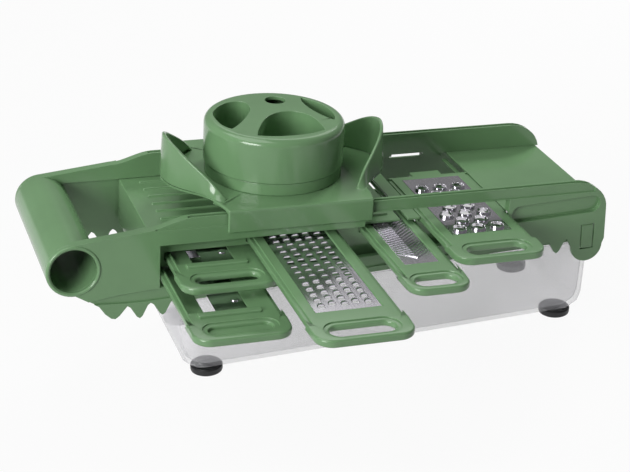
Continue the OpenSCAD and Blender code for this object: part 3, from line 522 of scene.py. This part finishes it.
def outline(inner, rim, grow=0.0):
    """Closed outline of a pocket in metres, pushed outwards by grow."""
    back = (inner[-1],) + rim + (inner[0],)
    path = [curve(inner, t / CURVE_STEPS) for t in range(CURVE_STEPS * (len(inner) - 1))]
    path += [curve(back, t / RIM_STEPS) for t in range(RIM_STEPS * (len(back) - 1))]
    path = [Vector(point) * MM for point in path]
    turn = sum(a.cross(b) for a, b in zip(path, path[1:] + path[:1]))
    result = []
    for i, point in enumerate(path):
        along = (path[(i + 1) % len(path)] - path[i - 1]).normalized()
        result.append(point + Vector((along.y, -along.x)) * math.copysign(grow, turn))
    return result


def prism(points, low, high):
    """A straight-sided solid over a closed outline."""
    deselect()
    bpy.ops.mesh.primitive_circle_add(vertices=len(points), radius=1, fill_type="NGON")
    piece = bpy.context.object
    for vertex, point in zip(piece.data.vertices, points):
        vertex.co = (point.x, point.y, low)
    bpy.ops.object.mode_set(mode="EDIT")
    bpy.ops.mesh.select_all(action="SELECT")
    bpy.ops.mesh.extrude_region_move(TRANSFORM_OT_translate={"value": (0, 0, high - low)})
    face_outwards(piece)
    return piece


class SLICER_OT_cap(bpy.types.Operator):
    """Pusher cap: a hollow drum with a rounded rim, three finger pockets and a round hole"""

    bl_idname = "slicer.cap"
    bl_label = "Pusher Cap"

    def execute(self, context):
        cap = drum(CAP_RADIUS, CAP_BASE, CAP_TOP, rounding=CAP_SHOULDER)
        inside = drum(CAP_RADIUS - CAP_WALL, CAP_BASE - PAST, CAP_TOP - CAP_WALL,
                      rounding=CAP_HOLLOW_SHOULDER)
        for inner, rim in POCKETS:
            cut(inside, prism(outline(inner, rim, POCKET_WALL), POCKET_FLOOR - POCKET_WALL,
                              CAP_TOP + PAST))
        cut(cap, inside)
        for inner, rim in POCKETS:
            cut(cap, prism(outline(inner, rim), POCKET_FLOOR, CAP_TOP + 2 * PAST))
        cut(cap, drum(CAP_HOLE_RADIUS, CAP_BASE - PAST, CAP_TOP + PAST, CAP_HOLE_PLACE,
                      CAP_HOLE_SIDES))
        cap.name = "cap_shell"
        round_edges(cap, CAP_ROUND, CAP_SEGMENTS, inner=CAP_INNER_ROUND)
        smooth(cap, angle=50)
        settle(cap, guard_place())
        dress(cap, "green_plastic", body_of("pusher_cap"), "pusher_cap")
        return {"FINISHED"}


# ---------- guard ----------

GUARD_TOP = 4 * MM
# Space cut away under each nose, out from the middle of the guard: where it starts and ends, half
# its width, its floor, and what is left of the plate above it
NOSE_START, NOSE_END, NOSE_HALF = 47.6 * MM, 80 * MM, 41 * MM
NOSE_CUT_FLOOR, NOSE_PLATE = -6 * MM, 1.1 * MM
# The right end of the front flange is drawn out: the corners beyond these two distances from the
# middle, along and across, move by up to the third, reached over the fourth of the breadth
DRAWN_ALONG, DRAWN_ACROSS, DRAWN_OUT, DRAWN_RUN = 40 * MM, 44 * MM, 3 * MM, 6 * MM
GUARD_ROUND = 1.3 * MM


class SLICER_OT_guard_plate(bpy.types.Operator):
    """Guard plate: thin under both noses, with rounded flanges"""

    bl_idname = "slicer.guard_plate"
    bl_label = "Guard Plate"

    def execute(self, context):
        node = "guard_plate"
        plate = from_node(node, node + "_soft")
        corners = ((NOSE_START, -NOSE_HALF), (NOSE_END, -NOSE_HALF), (NOSE_END, NOSE_HALF),
                   (NOSE_START, NOSE_HALF))
        for side in (1, -1):
            under = prism([Vector((side * x, y)) for x, y in corners], NOSE_CUT_FLOOR,
                          GUARD_TOP - NOSE_PLATE)
            settle(under, guard_place())
            cut(plate, under)
        to_guard = guard_place().inverted()
        for vertex in plate.data.vertices:
            point = to_guard @ vertex.co
            if point.x > DRAWN_ALONG and point.y < -DRAWN_ACROSS:
                point.x += DRAWN_OUT * min(1.0, (-DRAWN_ACROSS - point.y) / DRAWN_RUN)
                vertex.co = guard_place() @ point
        round_edges(plate, GUARD_ROUND)
        smooth(plate)
        dress(plate, slot_of(node), body_of(node), node)
        return {"FINISHED"}


# Half of a wing in millimetres, from its nose to the end of an arm: the rim and the foot
WING_RIM = ((74.6, 0, 30), (73.8, 6, 29.2), (71.8, 12, 27.4), (68.3, 18, 24.3), (63.5, 24, 20),
            (57.8, 30, 15), (52, 35.2, 9.8), (47, 39.5, 4.6), (43, 43, 0.2))
WING_FOOT = ((75.7, 0, 0), (75.1, 6.5, 0), (73.2, 13, 0), (69.4, 19.5, 0), (64, 25.5, 0),
             (58.6, 31, 0), (54.2, 36.8, 0), (50.8, 43, 0), (48.4, 49.5, 0))
WING_COLUMNS, WING_ROWS = 80, 6
WING_WALL, WING_ROUND, WING_SEGMENTS, WING_SHARP = 2.2 * MM, 0.9 * MM, 4, 50
# How far the foot stands above the guard at the nose, and how far it sinks from there to the
# arms' ends; how far the floor stays inside the wall, and reaches below and above the guard's top
FOOT_LIFT, FOOT_SINK = 0.6 * MM, 1.5 * MM
FLOOR_INSET, FLOOR_BELOW, FLOOR_ABOVE = 0.5 * MM, 1.2 * MM, 0.1 * MM


def both_arms(points):
    """Points of a whole wing from those of one half."""
    return tuple((x, -y, z) for x, y, z in points[:0:-1]) + points


class SLICER_OT_wings(bpy.types.Operator):
    """Finger wings: a thin curved wall round each nose of the guard, with the floor inside it"""

    bl_idname = "slicer.wings"
    bl_label = "Finger Wings"

    def execute(self, context):
        rim, foot = both_arms(WING_RIM), both_arms(WING_FOOT)
        for node, side in (("guard_wing_right", 1), ("guard_wing_left", -1)):
            deselect()
            bpy.ops.mesh.primitive_grid_add(x_subdivisions=WING_COLUMNS, y_subdivisions=WING_ROWS,
                                            size=2)
            wing = context.object
            wing.name = node.replace("guard_", "") + "_wall"
            for vertex in wing.data.vertices:
                t = (vertex.co.x + 1) / 2 * (len(rim) - 1)
                up = (vertex.co.y + 1) / 2
                point = Vector(curve(foot, t)).lerp(Vector(curve(rim, t)), up) * MM
                lift = FOOT_LIFT - FOOT_SINK * vertex.co.x ** 2
                point.z += GUARD_TOP + lift * (1 - up)
                vertex.co = (side * point.x, point.y, point.z)
            face_outwards(wing)
            outward = sum(face.normal.x * face.area * side for face in wing.data.polygons) > 0
            apply_modifier(wing, "SOLIDIFY", thickness=WING_WALL, offset=-1 if outward else 1)
            round_edges(wing, WING_ROUND, WING_SEGMENTS, WING_SHARP)
            path = [Vector(curve(foot, t / CURVE_STEPS)) * MM
                    for t in range(CURVE_STEPS * (len(foot) - 1) + 1)]
            floor = prism([Vector((side * (p.x - FLOOR_INSET), p.y)) for p in path],
                          GUARD_TOP - FLOOR_BELOW, GUARD_TOP + FLOOR_ABOVE)
            wing = join(wing.name, [wing, floor])
            smooth(wing, angle=60)
            settle(wing, guard_place())
            dress(wing, "green_plastic", body_of(node), node)
        return {"FINISHED"}


# ---------- handle ----------

# The lip's own radius, its middle's distance in from the tube's outside, and from the tube's end
LIP_RADIUS, LIP_INSET, LIP_DEPTH = 1.25 * MM, 1.3 * MM, 0.5 * MM
LIP_SIDES = 16


class SLICER_OT_bore_lip(bpy.types.Operator):
    """Rounded lip round both ends of the handle's bore"""

    bl_idname = "slicer.bore_lip"
    bl_label = "Bore Lip"

    def execute(self, context):
        low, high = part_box("handle_tube")
        middle = (low + high) / 2
        outer = (high.x - low.x) / 2
        lips = []
        for y in (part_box("frame_side_front")[0].y + LIP_DEPTH,
                  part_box("frame_side_rear")[1].y - LIP_DEPTH):
            deselect()
            bpy.ops.mesh.primitive_torus_add(
                major_radius=outer - LIP_INSET, minor_radius=LIP_RADIUS,
                major_segments=CIRCLE_SIDES, minor_segments=LIP_SIDES,
                location=(middle.x, y, middle.z), rotation=(math.pi / 2, 0, 0))
            bpy.ops.object.transform_apply(location=True, rotation=True, scale=True)
            lips.append(context.object)
        lip = join("handle_bore_lips", lips)
        smooth(lip, angle=60)
        dress(lip, "green_plastic", body_of("handle_tube"))
        return {"FINISHED"}


# ---------- steel ----------

PLATE_THICKNESS, SINK = 0.8 * MM, 0.1 * MM  # a sheet's, and how deep what stands on it is sunk
TOOTH_WALL = 0.35 * MM


def plate_place(node):
    """Where a plate lies, in deck coordinates: its middle along the deck, its near edge, its
    length across the deck, and its upper face."""
    to_deck = deck().inverted()
    corners = [to_deck @ Vector(v.co) for v in frame["nodes"][node].data.vertices]
    u = (min(c.x for c in corners) + max(c.x for c in corners)) / 2
    near = min(c.y for c in corners)
    top = min(c.z for c in corners) + PLATE_THICKNESS
    return u, near, max(c.y for c in corners) - near, top


# Coarse grater: the holes' pitch, the first one's place, the shift of every second column, and
# how far beyond its hole's middle a tooth stands
COARSE_PITCH, COARSE_MARGIN, COARSE_STAGGER, TOOTH_SHIFT = 7.4 * MM, 8 * MM, 2 * MM, 0.4 * MM
COARSE_COLUMNS = 5
TOOTH_SIZE = (2.5 * MM, 3.3 * MM, 1.5 * MM)  # half its width, its length and its height


def tooth():
    """A rasp tooth: a thin quarter dome that opens towards the near end of the plate."""
    deselect()
    bpy.ops.mesh.primitive_uv_sphere_add(segments=12, ring_count=8, radius=1)
    piece = bpy.context.object
    piece.scale = TOOTH_SIZE
    bpy.ops.object.transform_apply(location=True, rotation=True, scale=True)
    bpy.ops.object.mode_set(mode="EDIT")
    for normal in ((0, 0, 1), (0, 1, 0)):
        bpy.ops.mesh.select_all(action="SELECT")
        bpy.ops.mesh.bisect(plane_co=(0, 0, 0), plane_no=normal, clear_inner=True)
    bpy.ops.object.mode_set(mode="OBJECT")
    apply_modifier(piece, "SOLIDIFY", thickness=TOOTH_WALL, offset=-1)
    return piece


class SLICER_OT_coarse_plate(bpy.types.Operator):
    """Coarse grater plate with a raised rasp tooth over each hole"""

    bl_idname = "slicer.coarse_plate"
    bl_label = "Coarse Grater Plate"

    def execute(self, context):
        node = "coarse_grater_plate"
        plate = from_node(node, "coarse_plate_sheet")
        u, near, length, top = plate_place(node)
        pattern = tooth()
        rows = math.floor((length - COARSE_MARGIN) / COARSE_PITCH)
        teeth = []
        for i in range(COARSE_COLUMNS):
            x = u + (i - COARSE_COLUMNS // 2) * COARSE_PITCH
            first = near + COARSE_MARGIN + (i % 2) * COARSE_STAGGER + TOOTH_SHIFT
            teeth += [copy_to(pattern, (x, first + j * COARSE_PITCH, top - SINK))
                      for j in range(rows)]
        bpy.data.objects.remove(pattern)
        rasp = join("coarse_teeth", teeth)
        settle(rasp, deck())
        smooth(rasp, angle=60)
        smooth(plate, angle=30)
        dress(plate, slot_of(node), body_of(node), node)
        dress(rasp, slot_of(node), body_of(node))
        return {"FINISHED"}


# Narrow grater: half the sheet's width, the ridges' pitch, the first one's place, and the length
# of sheet that the row of ridges leaves free
NARROW_HALF, NARROW_PITCH, NARROW_START, NARROW_BLANK = 11.5 * MM, 3.3 * MM, 8 * MM, 22 * MM
# A chevron ridge: half its width, how far its ends lie from its point, its breadth and height, and
# how far its near and far faces lean in
RIDGE_HALF, RIDGE_REACH, RIDGE_BREADTH, RIDGE_HEIGHT = 10.6 * MM, 9 * MM, 0.8 * MM, 0.7 * MM
NEAR_LEAN, FAR_LEAN = 0.2 * MM, 0.25 * MM


def chevron():
    """A cutting ridge, pointed towards the near end of the plate."""
    near = ((-RIDGE_HALF, RIDGE_REACH), (0, 0), (RIDGE_HALF, RIDGE_REACH))
    far = tuple((x, y + RIDGE_BREADTH) for x, y in reversed(near))
    ridge = prism([Vector(p) for p in near + far], -SINK, RIDGE_HEIGHT)
    for vertex in ridge.data.vertices:
        if vertex.co.z > 0:
            middle = abs(vertex.co.x) * RIDGE_REACH / RIDGE_HALF + RIDGE_BREADTH / 2
            vertex.co.y += NEAR_LEAN if vertex.co.y < middle else -FAR_LEAN
    return ridge


class SLICER_OT_narrow_plate(bpy.types.Operator):
    """Narrow grater plate: a sheet with fine chevron cutting ridges and a blank near end"""

    bl_idname = "slicer.narrow_plate"
    bl_label = "Narrow Grater Plate"

    def execute(self, context):
        node = "narrow_grater_plate"
        u, near, length, top = plate_place(node)
        left, right, far = u - NARROW_HALF, u + NARROW_HALF, near + length
        corners = ((left, near), (right, near), (right, far), (left, far))
        sheet = prism([Vector(p) for p in corners], top - PLATE_THICKNESS, top)
        ridge = chevron()
        ridges = [copy_to(ridge, (u, near + NARROW_START + i * NARROW_PITCH, top))
                  for i in range(math.floor((length - NARROW_BLANK) / NARROW_PITCH))]
        bpy.data.objects.remove(ridge)
        plate = join("narrow_plate_sheet", [sheet] + ridges)
        settle(plate, deck())
        smooth(plate, angle=20)
        dress(plate, slot_of(node), body_of(node), node)
        return {"FINISHED"}


# Round-hole grater: the first row's place, the length that no row takes up, and the holes' pitch
# from row to row and within a row
ROUND_START, ROUND_MARGIN, ROUND_ROW, ROUND_COLUMN = 7 * MM, 10 * MM, 11 * MM, 13.2 * MM
ROUND_MOST = 3  # holes in every fuller row; the rows between have one less
CROWN_RADIUS, CROWN_DEPTH, CROWN_SINK, CROWN_POINT = 4.7 * MM, 0.8 * MM, 0.05 * MM, 0.7 * MM
CROWN_SIDES, CROWN_TAPER = 32, 0.93


def crown_ring():
    """A thin ring that narrows upwards and ends in saw teeth."""
    deselect()
    bpy.ops.mesh.primitive_cylinder_add(vertices=CROWN_SIDES, radius=CROWN_RADIUS,
                                        depth=CROWN_DEPTH, end_fill_type="NOTHING")
    ring = bpy.context.object
    for vertex in ring.data.vertices:
        if vertex.co.z > 0:
            side = round(math.atan2(vertex.co.y, vertex.co.x) / math.tau * CROWN_SIDES)
            vertex.co.z += CROWN_POINT if side % 2 else 0.0
            vertex.co.xy *= CROWN_TAPER
    apply_modifier(ring, "SOLIDIFY", thickness=TOOTH_WALL, offset=-1)
    return ring


class SLICER_OT_round_plate(bpy.types.Operator):
    """Round-hole grater plate with a saw-toothed crown on the ring of each hole"""

    bl_idname = "slicer.round_plate"
    bl_label = "Round-Hole Grater Plate"

    def execute(self, context):
        node = "round_grater_plate"
        plate = from_node(node, "round_plate_sheet")
        u, near, length, top = plate_place(node)
        ring = crown_ring()
        crowns = []
        for j in range(math.floor((length - ROUND_MARGIN) / ROUND_ROW)):
            count = ROUND_MOST - j % 2
            place = near + ROUND_START + j * ROUND_ROW
            crowns += [copy_to(ring, (u + (i - (count - 1) / 2) * ROUND_COLUMN, place,
                                      top + CROWN_DEPTH / 2 - CROWN_SINK)) for i in range(count)]
        bpy.data.objects.remove(ring)
        crown = join("round_hole_crowns", crowns)
        settle(crown, deck())
        smooth(plate, angle=30)
        smooth(crown, angle=25)
        dress(plate, slot_of(node), body_of(node), node)
        dress(crown, slot_of(node), body_of(node))
        return {"FINISHED"}


RIVET_DOME, RIVET_SEGMENTS = 0.5 * MM, 4


class SLICER_OT_rivets(bpy.types.Operator):
    """Domed rivet heads of the slicing blades"""

    bl_idname = "slicer.rivets"
    bl_label = "Rivets"

    def execute(self, context):
        for node in ("thin_slicer_rivets", "thick_slicer_rivets"):
            piece = from_node(node, node + "_domed")
            round_edges(piece, RIVET_DOME, RIVET_SEGMENTS)
            smooth(piece, angle=50)
            dress(piece, slot_of(node), body_of(node), node)
        return {"FINISHED"}


class SLICER_OT_node_finishes(bpy.types.Operator):
    """Gives every CAD node that is still shown its finish"""

    bl_idname = "slicer.node_finishes"
    bl_label = "Finishes on CAD Nodes"

    def execute(self, context):
        for name, node in frame["nodes"].items():
            if not node.hide_render:
                node.data.materials.clear()
                node.data.materials.append(finish(slot_of(name)))
        return {"FINISHED"}


# ---------- stage ----------

CAMERA_PLACE = (-0.3208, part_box("frame_side_front")[0].y - 0.91037, 0.5655)
CAMERA_TURN = (math.radians(64.0035), 0.0, math.radians(-18.4237))
CAMERA_LENS = 95.27
# Lamps: name, place, point they look at, width and height, watts, whether glossy surfaces mirror
# them, and whether they light dull ones
LAMPS = (
    ("key_lamp", (-1.4, -0.95, 0.72), (0, 0, 0.1), (0.9, 0.7), 26.5, True, True),
    ("back_lamp", (1.1, 1.15, 0.85), (0, 0, 0.08), (0.4, 0.35), 20, False, True),
    ("top_lamp", (-0.6, 0.1, 1.6), (0, 0, 0.05), (1.5, 1.2), 15, True, True),
    ("front_lamp", (0.5, -1.7, 0.45), (0, 0, 0.08), (0.5, 0.4), 0.8, True, True),
    ("back_card", (0.58, 1.05, 1.09), (0.03, -0.08, 0.1), (1.1, 0.6), 3.2, True, False),
)
ROOM_LIGHT, ROOM_GLOSS = 0.02, 0.22  # the white room as a light, and its share in glossy surfaces
# The floor's own grey, the part of it that glows white where it is seen, and that glow's share in
# glossy surfaces; the rest takes the object's shadow
FLOOR_GREY, FLOOR_GLOW, FLOOR_GLOSS = 0.5, 0.94, 0.8


def softbox(name, place, target, size, power, in_gloss, on_dull):
    """A rectangular area lamp that looks at a point."""
    data = bpy.data.lights.new(name, "AREA")
    data.shape = "RECTANGLE"
    data.size, data.size_y = size
    data.energy = power
    lamp = bpy.data.objects.new(name, data)
    lamp.visible_glossy = in_gloss
    lamp.visible_diffuse = on_dull
    lamp.location = place
    lamp.rotation_euler = (Vector(target) - Vector(place)).to_track_quat("-Z", "Y").to_euler()
    bpy.context.scene.collection.objects.link(lamp)


def seen_directly(tree, in_gloss):
    """1 for camera and transmission rays, in_gloss for glossy rays, and 0 for the light itself."""
    path = add(tree, "LightPath", {})
    gloss = add(tree, "Math", {0: path.outputs["Is Glossy Ray"], 1: in_gloss}, operation="MULTIPLY")
    first = add(tree, "Math", {0: path.outputs["Is Camera Ray"], 1: gloss.outputs["Value"]},
                operation="MAXIMUM")
    return add(tree, "Math", {0: first.outputs["Value"], 1: path.outputs["Is Transmission Ray"]},
               operation="MAXIMUM").outputs["Value"]


class SLICER_OT_stage(bpy.types.Operator):
    """Camera, soft studio lamps, white surroundings and a pale floor"""

    bl_idname = "slicer.stage"
    bl_label = "Stage"

    def execute(self, context):
        scene = context.scene
        scene.view_settings.view_transform = "Standard"
        data = bpy.data.cameras.new("camera")
        data.lens = CAMERA_LENS
        data.sensor_width = 36
        data.clip_end = 20
        camera = bpy.data.objects.new("camera", data)
        camera.location = CAMERA_PLACE
        camera.rotation_euler = CAMERA_TURN
        scene.collection.objects.link(camera)
        scene.camera = camera

        world = bpy.data.worlds.new("white_room")
        world.use_nodes = True
        scene.world = world
        tree = world.node_tree
        strength = add(tree, "MapRange", {"Value": seen_directly(tree, ROOM_GLOSS),
                                          "To Min": ROOM_LIGHT, "To Max": 1.0})
        background = tree.nodes["Background"]
        background.inputs["Color"].default_value = (1, 1, 1, 1)
        tree.links.new(strength.outputs["Result"], background.inputs["Strength"])

        for lamp in LAMPS:
            softbox(*lamp)

        deselect()
        bpy.ops.mesh.primitive_plane_add(size=8, location=(0, 0, 0))
        floor = context.object
        floor.name = "floor"
        material = bpy.data.materials.new("pale_floor")
        material.use_nodes = True
        tree = material.node_tree
        dull = tree.nodes["Principled BSDF"]
        dull.inputs["Base Color"].default_value = (FLOOR_GREY, FLOOR_GREY, FLOOR_GREY, 1)
        dull.inputs["Roughness"].default_value = 0.9
        glow = add(tree, "Emission", {"Color": (1, 1, 1, 1), "Strength": 1.0})
        share = add(tree, "Math", {0: seen_directly(tree, FLOOR_GLOSS), 1: FLOOR_GLOW},
                    operation="MULTIPLY")
        mixed = add(tree, "MixShader", {0: share.outputs["Value"], 1: dull.outputs["BSDF"],
                                        2: glow.outputs["Emission"]})
        tree.links.new(mixed.outputs["Shader"], tree.nodes["Material Output"].inputs["Surface"])
        floor.data.materials.append(material)
        return {"FINISHED"}


class SLICER_PT_panel(bpy.types.Panel):
    """Lists the slicer's pieces, sizes and colours"""

    bl_label = "Mandoline Slicer"
    bl_idname = "SLICER_PT_panel"
    bl_space_type = "VIEW_3D"
    bl_region_type = "UI"
    bl_category = "Slicer"

    def draw(self, context):
        for operator in OPERATORS:
            self.layout.operator(operator.bl_idname)
        for group in (context.scene.slicer_sizes, context.scene.slicer_colours):
            for key in group.__annotations__:
                self.layout.prop(group, key)


OPERATORS = (
    SLICER_OT_stage, SLICER_OT_soft_nodes, SLICER_OT_cap, SLICER_OT_guard_plate, SLICER_OT_wings,
    SLICER_OT_bore_lip, SLICER_OT_coarse_plate, SLICER_OT_narrow_plate, SLICER_OT_round_plate,
    SLICER_OT_rivets, SLICER_OT_node_finishes,
)
CLASSES = (SlicerSizes, SlicerColours) + OPERATORS + (SLICER_PT_panel,)


def register():
    for cls in CLASSES:
        bpy.utils.register_class(cls)
    bpy.types.Scene.slicer_sizes = bpy.props.PointerProperty(type=SlicerSizes)
    bpy.types.Scene.slicer_colours = bpy.props.PointerProperty(type=SlicerColours)


def unregister():
    del bpy.types.Scene.slicer_colours
    del bpy.types.Scene.slicer_sizes
    for cls in reversed(CLASSES):
        bpy.utils.unregister_class(cls)


def main():
    register()
    for operator in OPERATORS:
        name = operator.bl_idname.split(".")[1]
        getattr(bpy.ops.slicer, name)()


if __name__ == "__main__":
    main()
